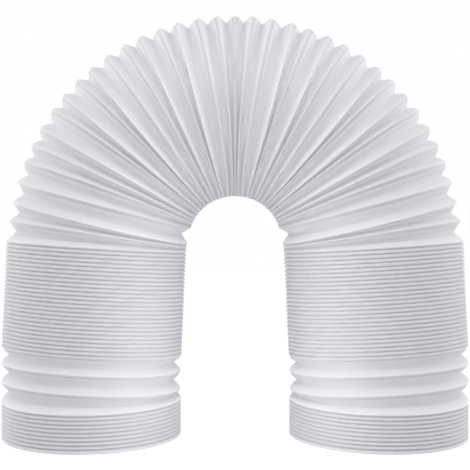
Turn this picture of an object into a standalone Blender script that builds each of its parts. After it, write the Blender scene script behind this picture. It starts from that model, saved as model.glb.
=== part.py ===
"""Air conditioner exhaust hose: one corrugated tube of thin white plastic, bent to an
upside-down U and standing on its two open ends.

Metres, +Z up, +X to the right, +Y away from the viewer. The origin is on the floor, midway
between the two ends. The hose is the same on both sides of the plane X = 0, so one half is
built, from the crown of the bend down to the floor, and mirrored."""

from math import cos, pi, radians, sin

import bmesh
import bpy
from mathutils import Vector

# The tube
RIDGE_RADIUS = 0.0753        # axis to the top of a ridge
FOLD_DEPTH = 0.0072          # top of a ridge to the bottom of an open fold
GROOVE_DEPTH = 0.0015        # groove that is left where two ridges touch
WALL = 0.0010                # plastic, measured along the radius
NESTED_PITCH = 0.00338       # ridge to ridge where the folds are pushed together
OPEN_SPACING = 0.0090        # ridge to ridge where a fold has opened to its full depth
SIDES = 16                   # flats round the tube

# The arch, from the crown to the shoulder
ARCH_FOLDS = 15
ARCH_PITCH = 0.00998
ARCH_TURN = radians(5.01)

# The shoulder: one fold pulled wide open, then the last folds of the bend
SHOULDER_GAP = 0.0144
SHOULDER_GAP_TURN = radians(1.2)
SHOULDER_FOLDS = 2
SHOULDER_PITCH = 0.0101
SHOULDER_TURN = radians(5.1)

# The leg: a long nested stack that leans out a little less than its ridges tilt,
# folds that the weight above holds open, and a short nested stack level with the floor
STACK_FOLDS = 26
STACK_SLIP = radians(1.0)
LOOSE_PITCHES = (0.0143, 0.0152)
FOOT_GAP = 0.0108
FOOT_FOLDS = 9

FOOT_TURN = pi / 2           # the last ridges lie level, so that the end stands flat
NESTED_SHARE = 0.01          # a fold that is open less than this counts as nested
BORE_RADIUS = RIDGE_RADIUS - FOLD_DEPTH - WALL

PLASTIC_COLOUR = (0.80, 0.79, 0.81, 1.0)
PLASTIC_ROUGHNESS = 0.42


def fold_steps():
    """Yield (pitch, turn, slip) from each ridge to the next, going down from the crown."""
    for _ in range(ARCH_FOLDS):
        yield ARCH_PITCH, ARCH_TURN, 0.0
    yield SHOULDER_GAP, SHOULDER_GAP_TURN, 0.0
    for _ in range(SHOULDER_FOLDS):
        yield SHOULDER_PITCH, SHOULDER_TURN, 0.0
    for _ in range(STACK_FOLDS):
        yield NESTED_PITCH, 0.0, STACK_SLIP
    for pitch in LOOSE_PITCHES:
        yield pitch, 0.0, STACK_SLIP
    bend = ARCH_FOLDS * ARCH_TURN + SHOULDER_GAP_TURN + SHOULDER_FOLDS * SHOULDER_TURN
    yield FOOT_GAP, FOOT_TURN - bend, 0.0
    for _ in range(FOOT_FOLDS):
        yield NESTED_PITCH, 0.0, 0.0


def ridge_frames():
    """Centre and turn of each ridge. The turn is 0 at the crown, where the ridge stands
    upright in the plane X = 0, and a right angle where it lies level."""
    frames = [(Vector((0.0, 0.0, 0.0)), 0.0)]
    for pitch, turn, slip in fold_steps():
        centre, tilt = frames[-1]
        heading = tilt + turn / 2 + slip
        step = Vector((cos(heading), 0.0, -sin(heading))) * pitch
        frames.append((centre + step, tilt + turn))
    rim_height = frames[-1][0].z - NESTED_PITCH / 2
    return [(centre - Vector((0.0, 0.0, rim_height)), tilt) for centre, tilt in frames]


def ring_points(frame, radii):
    """Points round one ridge, from the outer side of the bend, at the given radii."""
    centre, tilt = frame
    outward = Vector((sin(tilt), 0.0, cos(tilt)))
    across = Vector((0.0, 1.0, 0.0))
    points = []
    for side, radius in enumerate(radii):
        angle = 2 * pi * side / SIDES
        points.append(centre + radius * (cos(angle) * outward + sin(angle) * across))
    return points


def midway(frame_above, frame_below):
    """The frame of the valley between two ridges."""
    centre = (frame_above[0] + frame_below[0]) / 2
    return centre, (frame_above[1] + frame_below[1]) / 2


def openness(frame_above, frame_below):
    """How far the fold between two ridges is open at each side: 0 nested, 1 full depth."""
    ridge = [RIDGE_RADIUS] * SIDES
    shares = []
    for above, below in zip(ring_points(frame_above, ridge), ring_points(frame_below, ridge)):
        share = ((below - above).length - NESTED_PITCH) / (OPEN_SPACING - NESTED_PITCH)
        shares.append(min(max(share, 0.0), 1.0))
    return shares


def hose_rings():
    """Rings of points down the outside of one half, across the rim and up the bore."""
    frames = ridge_frames()
    folds = [openness(above, below) for above, below in zip(frames, frames[1:])]
    valleys = [midway(above, below) for above, below in zip(frames, frames[1:])]
    ridge = [RIDGE_RADIUS] * SIDES
    bore = [BORE_RADIUS] * SIDES
    outside = []
    inside = []
    for number, frame in enumerate(frames):
        outside.append(ring_points(frame, ridge))
        above = folds[max(number - 1, 0)]
        below = folds[min(number, len(folds) - 1)]
        # the wall is solid down to the bore where the folds on either side are nested
        shares = [min(pair) for pair in zip(above, below)]
        if max(above + below) > NESTED_SHARE:
            inside.append(ring_points(frame, [BORE_RADIUS + FOLD_DEPTH * share for share in shares]))
        if number < len(folds):
            depths = [GROOVE_DEPTH + (FOLD_DEPTH - GROOVE_DEPTH) * share for share in below]
            outside.append(ring_points(valleys[number], [RIDGE_RADIUS - depth for depth in depths]))
            if max(below) > NESTED_SHARE:
                inside.append(ring_points(valleys[number], bore))
    rim = (Vector((frames[-1][0].x, 0.0, 0.0)), FOOT_TURN)
    outside.append(ring_points(rim, [RIDGE_RADIUS - GROOVE_DEPTH] * SIDES))
    inside.append(ring_points(rim, bore))
    return outside + inside[::-1]


def extrude_ring(bm, ring, points):
    """Draw the open end of the tube out to the given points, and return the new end."""
    edges = [bm.edges.get((ring[side - 1], ring[side])) for side in range(SIDES)]
    made = bmesh.ops.extrude_edge_only(bm, edges=edges)["geom"]
    fresh = {item for item in made if isinstance(item, bmesh.types.BMVert)}
    end = []
    for vert, point in zip(ring, points):
        partner = next(edge.other_vert(vert) for edge in vert.link_edges if edge.other_vert(vert) in fresh)
        partner.co = point
        end.append(partner)
    return end


def plastic():
    """White polypropylene, slightly glossy."""
    material = bpy.data.materials.new("white_plastic")
    material.use_nodes = True
    shader = material.node_tree.nodes["Principled BSDF"]
    shader.inputs["Base Color"].default_value = PLASTIC_COLOUR
    shader.inputs["Roughness"].default_value = PLASTIC_ROUGHNESS
    shader.inputs["Metallic"].default_value = 0.0
    return material


def exhaust_hose(collection):
    """The whole hose: half a tube, open at the crown, and its mirror image."""
    bm = bmesh.new()
    crown, *further = hose_rings()
    ring = bmesh.ops.create_circle(bm, segments=SIDES, radius=RIDGE_RADIUS)["verts"]
    for vert, point in zip(ring, crown):
        vert.co = point
    for points in further:
        ring = extrude_ring(bm, ring, points)
    bmesh.ops.recalc_face_normals(bm, faces=bm.faces)
    mesh = bpy.data.meshes.new("exhaust_hose")
    bm.to_mesh(mesh)
    bm.free()
    mesh.materials.append(plastic())
    mesh.shade_smooth()
    mesh.set_sharp_from_angle(angle=radians(30))
    hose = bpy.data.objects.new("exhaust_hose", mesh)
    collection.objects.link(hose)
    mirror = hose.modifiers.new("other half", "MIRROR")
    mirror.use_axis = (True, False, False)
    mirror.merge_threshold = 0.00001
    return hose


for leftover in list(bpy.data.objects):
    bpy.data.objects.remove(leftover)
hose_collection = bpy.data.collections.new("air conditioner exhaust hose")
bpy.context.scene.collection.children.link(hose_collection)
exhaust_hose(hose_collection)
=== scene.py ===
"""Looks of the air conditioner exhaust hose: a white corrugated tube standing as an arch."""

from math import cos, pi, radians, sin

import bmesh
import bpy
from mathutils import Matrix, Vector


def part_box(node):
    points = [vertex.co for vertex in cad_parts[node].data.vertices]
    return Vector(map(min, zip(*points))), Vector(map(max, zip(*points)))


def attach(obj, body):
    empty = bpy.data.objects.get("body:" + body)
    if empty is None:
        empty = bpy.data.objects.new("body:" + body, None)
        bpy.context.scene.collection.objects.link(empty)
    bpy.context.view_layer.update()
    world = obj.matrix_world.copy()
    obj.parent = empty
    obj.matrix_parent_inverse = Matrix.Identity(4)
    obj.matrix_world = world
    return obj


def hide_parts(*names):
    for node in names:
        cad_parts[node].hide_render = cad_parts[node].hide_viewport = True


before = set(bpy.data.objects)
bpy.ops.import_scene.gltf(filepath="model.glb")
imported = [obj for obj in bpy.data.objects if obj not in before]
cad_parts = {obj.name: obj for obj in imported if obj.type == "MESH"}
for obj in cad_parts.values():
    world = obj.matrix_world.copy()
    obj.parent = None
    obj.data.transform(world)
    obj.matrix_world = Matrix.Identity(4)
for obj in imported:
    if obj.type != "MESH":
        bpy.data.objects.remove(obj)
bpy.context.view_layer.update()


# The hose: one tube of thin white polypropylene, blown in a mould of ring-shaped folds.
# It is bent to an upside-down U and stands on its two open ends. Its folds are pulled open
# round the bend, pushed into each other down the legs, and held open again near the floor.
hose_low, hose_high = (Vector(corner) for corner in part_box("exhaust_hose"))
RIDGE_RADIUS = (hose_high.y - hose_low.y) / 2
FOLD_DEPTH = 0.0072
GROOVE_DEPTH = 0.0024        # between two ridges that touch
WALL = 0.0006
NESTED_PITCH = 0.00338       # ridge to ridge where the folds are pushed into each other
OPEN_SPACING = 0.0090        # ridge to ridge where a fold has opened to its full depth
NESTED_SHARE = 0.05          # a fold that is open less than this counts as nested
SEGMENTS = 72                # flats round the tube

# pitch, turn and sideways slip from ridge to ridge, from the crown of the arch to the foot.
# A positive slip leans towards the middle of the hose.
ARCH = [(0.00998, radians(5.01), 0.0)] * 15
SHOULDER = [(0.0151, radians(1.2), 0.0)] + [(0.0101, radians(5.1), 0.0)] * 2
STACK = [(NESTED_PITCH, 0.0, radians(0.8))] * 26
LOOSE = [(0.0143, 0.0, radians(1.0)), (0.0154, 0.0, radians(3.0))]
FOOT_GAP = 0.0119
FOOT_SLIP = radians(3.7)
FOOT = [(0.0032, 0.0, 0.0)] * 9
RIM_HEIGHT = 0.0014
RIM_ROUNDING = 0.0004
FOLDS = ARCH + SHOULDER + STACK + LOOSE
FOLDS += [(FOOT_GAP, pi / 2 - sum(turn for _, turn, _ in FOLDS), FOOT_SLIP)] + FOOT
LEG_START = len(ARCH) + len(SHOULDER)
LOOSE_START = LEG_START + len(STACK)
FOOT_START = LOOSE_START + len(LOOSE)

# how far each ridge of the bend wanders towards the crown where it passes the front, and
# how much further than the one above it each ridge of the leg is lifted there
FRONT_DRIFT = [0, 4, 4, -1, 3, 0, 3, 1.5, -2, 3, 0, 4, 0, 1.5, 3, -1, -2, 1]
DRIFT_UNIT = 0.001
STACK_LIFT = 0.00011
STACK_SWELL = 0.0005         # the stacked ridges are this much wider than the open ones

# inside the bend the ridges are squeezed together: they bulge into the throat and leave
# only shallow grooves between them
THROAT_BULGE = 0.0019
THROAT_GROOVE = 0.0007
THROAT_FOCUS = 4             # the higher, the closer the shallow grooves keep to the throat

# an open fold, from one ridge to the next: the hinge crease on the lower side of the ridge
# (distance, greatest share of the fold, depth), the two flanks with the valley between
# them, and the lip that rises to the next ridge
CREASE = [(0.00035, 0.05, 0.0012), (0.0011, 0.12, 0.0022), (0.0020, 0.20, 0.0005)]
FLANKS = [0.22, 0.30, 0.38, 0.46, 0.53, 0.62, 0.73, 0.85]
LIP = (0.0006, 0.07, 0.00018)
DEEPEST_CREASE = CREASE[1][2]

# the flanks' curve below a ridge and above the next, as powers of the way to the valley, on
# the two sides of the tube, and the share of the fold that each flank takes in front
FLANK_CURVES = (1.7, 2.0)
SHOULDER_CURVES = (0.8, 1.15)
SIDE_FOCUS = 4               # the higher, the closer the sharp valleys keep to the two sides
FLANK_SHARE = 0.42

# two ridges that touch: places across the groove between them, with the share of its depth
NESTED = [(0.0, 0.0), (0.22, 0.12), (0.36, 0.5), (0.5, 1.0), (0.64, 0.5), (0.78, 0.12)]

# the inside of the tube has only these of the rings of a nested and of an open fold
NESTED_INSIDE = (0, 3)
OPEN_INSIDE = (0, 4, 7, 10)

# painted shade and painted highlight in the film's colour: 1 is painted shade in the crease under
# a ridge; a little painted shade all over the stacked folds, where no light comes through from
# inside, and more in the grooves between them; and -1 is a painted highlight along the crest of an
# open fold
GROOVE_SHADE_FOCUS = 1.5
STACKED_SHADE = 0.42
GROOVE_SHADE = 0.10
CREST_HIGHLIGHT = -1.0
LIP_RING = 1 + len(CREASE) + len(FLANKS)
# painted highlight on each crest ring, and half of it on the lip ring just before the next ridge
HIGHLIGHT_RINGS = {0: CREST_HIGHLIGHT, LIP_RING: CREST_HIGHLIGHT / 2}


def ridge_frames():
    """Centre and turn of each ridge, from the crown down. The last one is the rim on the floor."""
    centres = [(Vector((0, 0, 0)), 0.0)]
    for pitch, turn, slip in FOLDS:
        centre, tilt = centres[-1]
        heading = tilt + turn / 2 + slip
        way = Vector((cos(heading), 0, -sin(heading)))
        centres.append((centre + way * pitch, tilt + turn))
    centres.append((centres[-1][0] - Vector((0, 0, RIM_HEIGHT)), pi / 2))
    floor_drop = Vector((0, 0, centres[-1][0].z - hose_low.z))
    return [(centre - floor_drop, tilt) for centre, tilt in centres]


def directions(tilt, angle):
    """The radial direction at an angle round the tube, and the way on towards the end."""
    outward = Vector((sin(tilt), 0, cos(tilt)))
    onward = Vector((cos(tilt), 0, -sin(tilt)))
    return outward * cos(angle) + Vector((0, 1, 0)) * sin(angle), onward


def ridge_line(number, centre, tilt):
    """Points of one ridge. In the bend it wanders along the tube and bulges into the throat."""
    if number < LEG_START:
        drift = FRONT_DRIFT[number] * DRIFT_UNIT
    else:
        drift = (number - LEG_START) * STACK_LIFT if number <= FOOT_START else 0.0
    radius = RIDGE_RADIUS + (STACK_SWELL if LEG_START <= number <= LOOSE_START else 0.0)
    points = []
    for step in range(SEGMENTS):
        angle = 2 * pi * step / SEGMENTS
        radial, onward = directions(tilt, angle)
        bulge = THROAT_BULGE * cos(tilt) ** 2 * max(-cos(angle), 0.0) ** 2
        points.append(centre + radial * (radius + bulge) + onward * sin(angle) * drift)
    return points


def open_share(spacing):
    """How far a fold is open where its two ridges are this far apart: 0 nested, 1 open."""
    share = (spacing - NESTED_PITCH) / (OPEN_SPACING - NESTED_PITCH)
    return min(max(share, 0.0), 1.0)


def open_depth(place, angle, curves):
    """Depth of an open fold, as a share of its full depth, from one ridge to the next. It has
    round ridges and a sharp valley on the two sides of the tube, and a wide valley in front."""
    below, above = curves
    sharp = (2 * place) ** below if place < 0.5 else (2 - 2 * place) ** above
    flank = min(min(place, 1 - place) / FLANK_SHARE, 1.0)
    wide = (1 - cos(pi * flank)) / 2
    side = cos(angle) ** SIDE_FOCUS
    return side * sharp + (1 - side) * wide


def fold_places(spacing, nested):
    """Where the rings of one fold lie between its ridges, with what deepens each of them."""
    if nested:
        return [(place, GROOVE_DEPTH * share) for place, share in NESTED]
    crease = [(min(distance / spacing, share), depth) for distance, share, depth in CREASE]
    lip = (1 - min(LIP[0] / spacing, LIP[1]), LIP[2])
    return [(0.0, 0.0)] + crease + [(place, 0.0) for place in FLANKS] + [lip]


def skin_ring(number, ring, nested, inner):
    """One ring of the skin: its points, each with the painted shade or painted highlight there."""
    curves = SHOULDER_CURVES if len(ARCH) <= number < LEG_START else FLANK_CURVES
    points = []
    for step, (above, below) in enumerate(zip(ridges[number], ridges[number + 1])):
        spacing = (below - above).length
        place, extra = fold_places(spacing, nested)[ring]
        share = open_share(spacing)
        angle = 2 * pi * step / SEGMENTS
        if nested:
            depth = extra
            # painted shade over the stacked folds, deeper in the grooves between them
            shade_and_highlight = STACKED_SHADE + GROOVE_SHADE * extra / GROOVE_DEPTH
        else:
            groove = (1 - share) * (1 - abs(2 * place - 1))
            throat = max(-cos(angle), 0.0) ** THROAT_FOCUS if number < LEG_START else 0.0
            groove_depth = GROOVE_DEPTH + (THROAT_GROOVE - GROOVE_DEPTH) * throat
            shape = open_depth(place, angle, curves)
            depth = share * (FOLD_DEPTH * shape + extra) + groove * groove_depth
            # painted shade in the crease under the ridge and over partly nested folds and their
            # grooves; painted highlight on the crest and lip rings
            shade_and_highlight = share * extra / DEEPEST_CREASE + (1 - share) * STACKED_SHADE
            shade_and_highlight = HIGHLIGHT_RINGS.get(ring, shade_and_highlight + groove ** GROOVE_SHADE_FOCUS)
        if inner:
            depth += WALL + (1 - share) * (FOLD_DEPTH - GROOVE_DEPTH)
        tilt = frames[number][1] * (1 - place) + frames[number + 1][1] * place
        radial, _ = directions(tilt, angle)
        points.append((above.lerp(below, place) - radial * depth, 0.0 if inner else shade_and_highlight))
    return points


def skin_rings():
    """Rings down the outside of one half, across the end, and up the inside."""
    outside = []
    inside = []
    for number, (upper, lower) in enumerate(zip(ridges[:-1], ridges[1:-1])):
        widest = max((below - above).length for above, below in zip(upper, lower))
        nested = open_share(widest) < NESTED_SHARE
        for ring in range(len(fold_places(widest, nested))):
            outside.append(skin_ring(number, ring, nested, False))
        for ring in NESTED_INSIDE if nested else OPEN_INSIDE:
            inside.append(skin_ring(number, ring, nested, True))
    outside.append([(point, 0.0) for point in ridges[-2]])
    outside.append([(point + Vector((0, 0, RIM_ROUNDING)), 0.0) for point in ridges[-1]])
    axis = frames[-1][0]
    for ring_list, depth in ((outside, RIM_ROUNDING), (inside, FOLD_DEPTH + WALL)):
        ring_list.append([(point.lerp(axis, depth / RIDGE_RADIUS), 0.0) for point in ridges[-1]])
    return outside + inside[::-1]


def extrude_ring(skin, ring):
    """The ring of vertices that comes from extruding one ring of them, in the same order."""
    edges = [skin.edges.get((ring[step - 1], ring[step])) for step in range(SEGMENTS)]
    made = bmesh.ops.extrude_edge_only(skin, edges=edges)["geom"]
    fresh = {item for item in made if isinstance(item, bmesh.types.BMVert)}
    fresh_ring = []
    for vert in ring:
        across = (edge.other_vert(vert) for edge in vert.link_edges)
        fresh_ring.append(next(other for other in across if other in fresh))
    return fresh_ring


frames = ridge_frames()
ridges = [ridge_line(number, centre, tilt) for number, (centre, tilt) in enumerate(frames)]
skin = bmesh.new()
# per vertex: painted shade (above 0) and painted highlight (below 0)
painted_light_layer = skin.verts.layers.float.new("painted_shade_and_highlight")
end = bmesh.ops.create_circle(skin, segments=SEGMENTS, radius=RIDGE_RADIUS)["verts"]
for number, ring in enumerate(skin_rings()):
    if number:
        end = extrude_ring(skin, end)
    for vert, (point, shade_and_highlight) in zip(end, ring):
        vert.co, vert[painted_light_layer] = point, shade_and_highlight
bmesh.ops.recalc_face_normals(skin, faces=skin.faces)
half = skin.verts[:] + skin.edges[:] + skin.faces[:]
SEAM = 0.00001               # vertices closer than this at the crown become one
bmesh.ops.mirror(skin, geom=half, merge_dist=SEAM, axis="X")
bmesh.ops.recalc_face_normals(skin, faces=skin.faces)
hose_mesh = bpy.data.meshes.new("hose_skin")
skin.to_mesh(hose_mesh)
skin.free()
hose_mesh.shade_smooth()
hose = bpy.data.objects.new("hose_skin", hose_mesh)
bpy.context.scene.collection.objects.link(hose)

# polypropylene film: milky, softly glossy, a little uneven in tone, with painted shade in its
# creases, grooves and stacked folds and a painted highlight along its crests
FILM_TONES = [(0.32, (0.885, 0.881, 0.919, 1.0)), (0.68, (0.897, 0.893, 0.930, 1.0))]
# tints multiplied into the film's colour: a painted highlight along the crests, none on plain
# film, and painted shade in the creases, grooves and stacked folds
CREST_HIGHLIGHT_TINT = (1.12, 1.12, 1.09, 1.0)
PLAIN_TINT = (1.0, 1.0, 1.0, 1.0)
CREASE_SHADE_TINT = (0.72, 0.72, 0.73, 1.0)
FILM_GLOSS = (0.46, 0.52)    # roughness, lowest and highest
CLOUD_SCALE = 38.0
GRAIN_SCALE = 700.0
GRAIN_HEIGHT = 0.0003
polypropylene = bpy.data.materials.new("white_polypropylene")
polypropylene.use_nodes = True
nodes = polypropylene.node_tree.nodes
links = polypropylene.node_tree.links
shader = nodes["Principled BSDF"]
shader.inputs["Subsurface Weight"].default_value = 0.15
shader.inputs["Subsurface Radius"].default_value = (1.0, 1.0, 1.1)
shader.inputs["Subsurface Scale"].default_value = 0.003
shader.inputs["IOR"].default_value = 1.49

place_on_hose = nodes.new("ShaderNodeTexCoord")
film_clouds = nodes.new("ShaderNodeTexNoise")
film_clouds.inputs["Scale"].default_value = CLOUD_SCALE
film_clouds.inputs["Detail"].default_value = 4.0
film_clouds.inputs["Roughness"].default_value = 0.55
links.new(place_on_hose.outputs["Object"], film_clouds.inputs["Vector"])

film_tone = nodes.new("ShaderNodeValToRGB")
for stop, (position, tone) in zip(film_tone.color_ramp.elements, FILM_TONES):
    stop.position = position
    stop.color = tone
links.new(film_clouds.outputs["Fac"], film_tone.inputs["Fac"])

# the painted shade and painted highlight, read from the mesh and multiplied into the film's colour
painted_light_reader = nodes.new("ShaderNodeAttribute")
painted_light_reader.attribute_name = "painted_shade_and_highlight"
painted_light_range = nodes.new("ShaderNodeMapRange")
painted_light_range.inputs["From Min"].default_value = CREST_HIGHLIGHT
links.new(painted_light_reader.outputs["Fac"], painted_light_range.inputs["Value"])
painted_light_tint = nodes.new("ShaderNodeValToRGB")
painted_light_tint.color_ramp.elements[0].color = CREST_HIGHLIGHT_TINT
painted_light_tint.color_ramp.elements[1].color = CREASE_SHADE_TINT
painted_light_tint.color_ramp.elements.new(0.5).color = PLAIN_TINT
links.new(painted_light_range.outputs["Result"], painted_light_tint.inputs["Fac"])
film_with_painted_light = nodes.new("ShaderNodeMix")
film_with_painted_light.data_type = "RGBA"
film_with_painted_light.blend_type = "MULTIPLY"
film_with_painted_light.inputs["Factor"].default_value = 1.0
links.new(film_tone.outputs["Color"], film_with_painted_light.inputs["A"])
links.new(painted_light_tint.outputs["Color"], film_with_painted_light.inputs["B"])
links.new(film_with_painted_light.outputs["Result"], shader.inputs["Base Color"])

film_gloss = nodes.new("ShaderNodeMapRange")
film_gloss.inputs["To Min"].default_value = FILM_GLOSS[0]
film_gloss.inputs["To Max"].default_value = FILM_GLOSS[1]
links.new(film_clouds.outputs["Fac"], film_gloss.inputs["Value"])
links.new(film_gloss.outputs["Result"], shader.inputs["Roughness"])

film_grain = nodes.new("ShaderNodeTexNoise")
film_grain.inputs["Scale"].default_value = GRAIN_SCALE
film_grain.inputs["Detail"].default_value = 3.0
links.new(place_on_hose.outputs["Object"], film_grain.inputs["Vector"])
grain_bump = nodes.new("ShaderNodeBump")
grain_bump.inputs["Strength"].default_value = 0.06
grain_bump.inputs["Distance"].default_value = GRAIN_HEIGHT
links.new(film_grain.outputs["Fac"], grain_bump.inputs["Height"])
links.new(grain_bump.outputs["Normal"], shader.inputs["Normal"])

hose_mesh.materials.append(polypropylene)
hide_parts("exhaust_hose")
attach(hose, "root")


# The studio floor: a large white sheet. It looks a little brighter than the light on it makes
# it, as a sheet does that is also lit from below.
FLOOR_REACH = 4.0
PAPER_WHITE = (0.85, 0.85, 0.85, 1.0)
PAPER_GLOW = 0.5
floor_mesh = bmesh.new()
bmesh.ops.create_grid(floor_mesh, x_segments=1, y_segments=1, size=FLOOR_REACH)
floor_data = bpy.data.meshes.new("studio_floor")
floor_mesh.to_mesh(floor_data)
floor_mesh.free()
floor = bpy.data.objects.new("studio_floor", floor_data)
bpy.context.scene.collection.objects.link(floor)
paper = bpy.data.materials.new("studio_paper")
paper.use_nodes = True
paper_shader = paper.node_tree.nodes["Principled BSDF"]
paper_shader.inputs["Base Color"].default_value = PAPER_WHITE
paper_shader.inputs["Roughness"].default_value = 0.9
paper_shader.inputs["Emission Color"].default_value = (1.0, 1.0, 1.0, 1.0)
seen_directly = paper.node_tree.nodes.new("ShaderNodeLightPath")
paper_glow = paper.node_tree.nodes.new("ShaderNodeMath")
paper_glow.operation = "MULTIPLY"
paper_glow.inputs[1].default_value = PAPER_GLOW
paper.node_tree.links.new(seen_directly.outputs["Is Camera Ray"], paper_glow.inputs[0])
paper.node_tree.links.new(paper_glow.outputs["Value"], paper_shader.inputs["Emission Strength"])
floor_data.materials.append(paper)


# The light: pale walls with tall bright screens on both sides and a paler one behind, and two
# soft lamps: one above the viewer, and a strip in front of the gap between the legs. The wall
# behind the hose is plain white, which the camera sees but the hose isn't lit by.
SIDE_WALLS = 0.42
SIDE_SCREENS = 1.62
SCREEN_FOCUS = 3.0           # the higher, the narrower the side screens
BACK_SCREEN = 0.60
ROOM_LIGHT = 0.08
WALL_WHITE = 1.0
world = bpy.data.worlds.new("studio_room")
world.use_nodes = True
room = world.node_tree.nodes
room_links = world.node_tree.links
look = room.new("ShaderNodeTexCoord")
look_parts = room.new("ShaderNodeSeparateXYZ")
room_links.new(look.outputs["Generated"], look_parts.inputs["Vector"])


def room_step(operation, first, *others):
    """One step of the room's light: a sum on a value that comes from the look direction."""
    step = room.new("ShaderNodeMath")
    step.operation = operation
    room_links.new(first, step.inputs[0])
    for socket, other in zip(step.inputs[1:], others):
        if isinstance(other, float):
            socket.default_value = other
        else:
            room_links.new(other, socket)
    return step.outputs["Value"]


sideways = room_step("ABSOLUTE", look_parts.outputs["X"])
backwards = room_step("MAXIMUM", look_parts.outputs["Y"], 0.0)
screens = room_step("POWER", sideways, SCREEN_FOCUS)
room_glow = room_step("MULTIPLY_ADD", sideways, SIDE_WALLS, ROOM_LIGHT)
room_glow = room_step("MULTIPLY_ADD", screens, SIDE_SCREENS, room_glow)
room_glow = room_step("MULTIPLY_ADD", backwards, BACK_SCREEN, room_glow)
wall_seen = room.new("ShaderNodeLightPath")
seen_or_lit = room.new("ShaderNodeMix")
seen_or_lit.inputs["B"].default_value = WALL_WHITE
room_links.new(wall_seen.outputs["Is Camera Ray"], seen_or_lit.inputs["Factor"])
room_links.new(room_glow, seen_or_lit.inputs["A"])
room_links.new(seen_or_lit.outputs["Result"], room["Background"].inputs["Strength"])
room["Background"].inputs["Color"].default_value = (1.0, 1.0, 1.0, 1.0)
bpy.context.scene.world = world
bpy.context.scene.view_settings.view_transform = "Standard"


def soft_lamp(name, place, aim, width, height, power):
    """A soft rectangular lamp at a place, turned towards an aim. The camera doesn't see it."""
    lamp = bpy.data.lights.new(name, "AREA")
    lamp.shape = "RECTANGLE"
    lamp.size, lamp.size_y = width, height
    lamp.energy = power
    holder = bpy.data.objects.new(name, lamp)
    holder.location = place
    holder.rotation_euler = (Vector(aim) - Vector(place)).to_track_quat("-Z", "Y").to_euler()
    holder.visible_camera = False
    bpy.context.scene.collection.objects.link(holder)


soft_lamp(
    "lamp_front", place=(0, -0.55, 0.75), aim=(0, 0, 0.15), width=0.4, height=0.4, power=1.87
)
soft_lamp(
    "lamp_gap", place=(0, -0.16, 0.07), aim=(0, 1, 0.07), width=0.02, height=0.16, power=0.058
)


# The camera: straight in front of the hose, level, and at half of its height. The lens frames
# the hose from edge to edge, as in the photo.
CAMERA_PLACE = (0, -0.7667, 0.1691)
SENSOR_WIDTH = 36.0
LENS = 68.9
camera = bpy.data.cameras.new("photo_camera")
camera.sensor_width = SENSOR_WIDTH
camera.lens = LENS
camera_holder = bpy.data.objects.new("photo_camera", camera)
camera_holder.location = CAMERA_PLACE
camera_holder.rotation_euler = (radians(90), 0, 0)
bpy.context.scene.collection.objects.link(camera_holder)
bpy.context.scene.camera = camera_holder
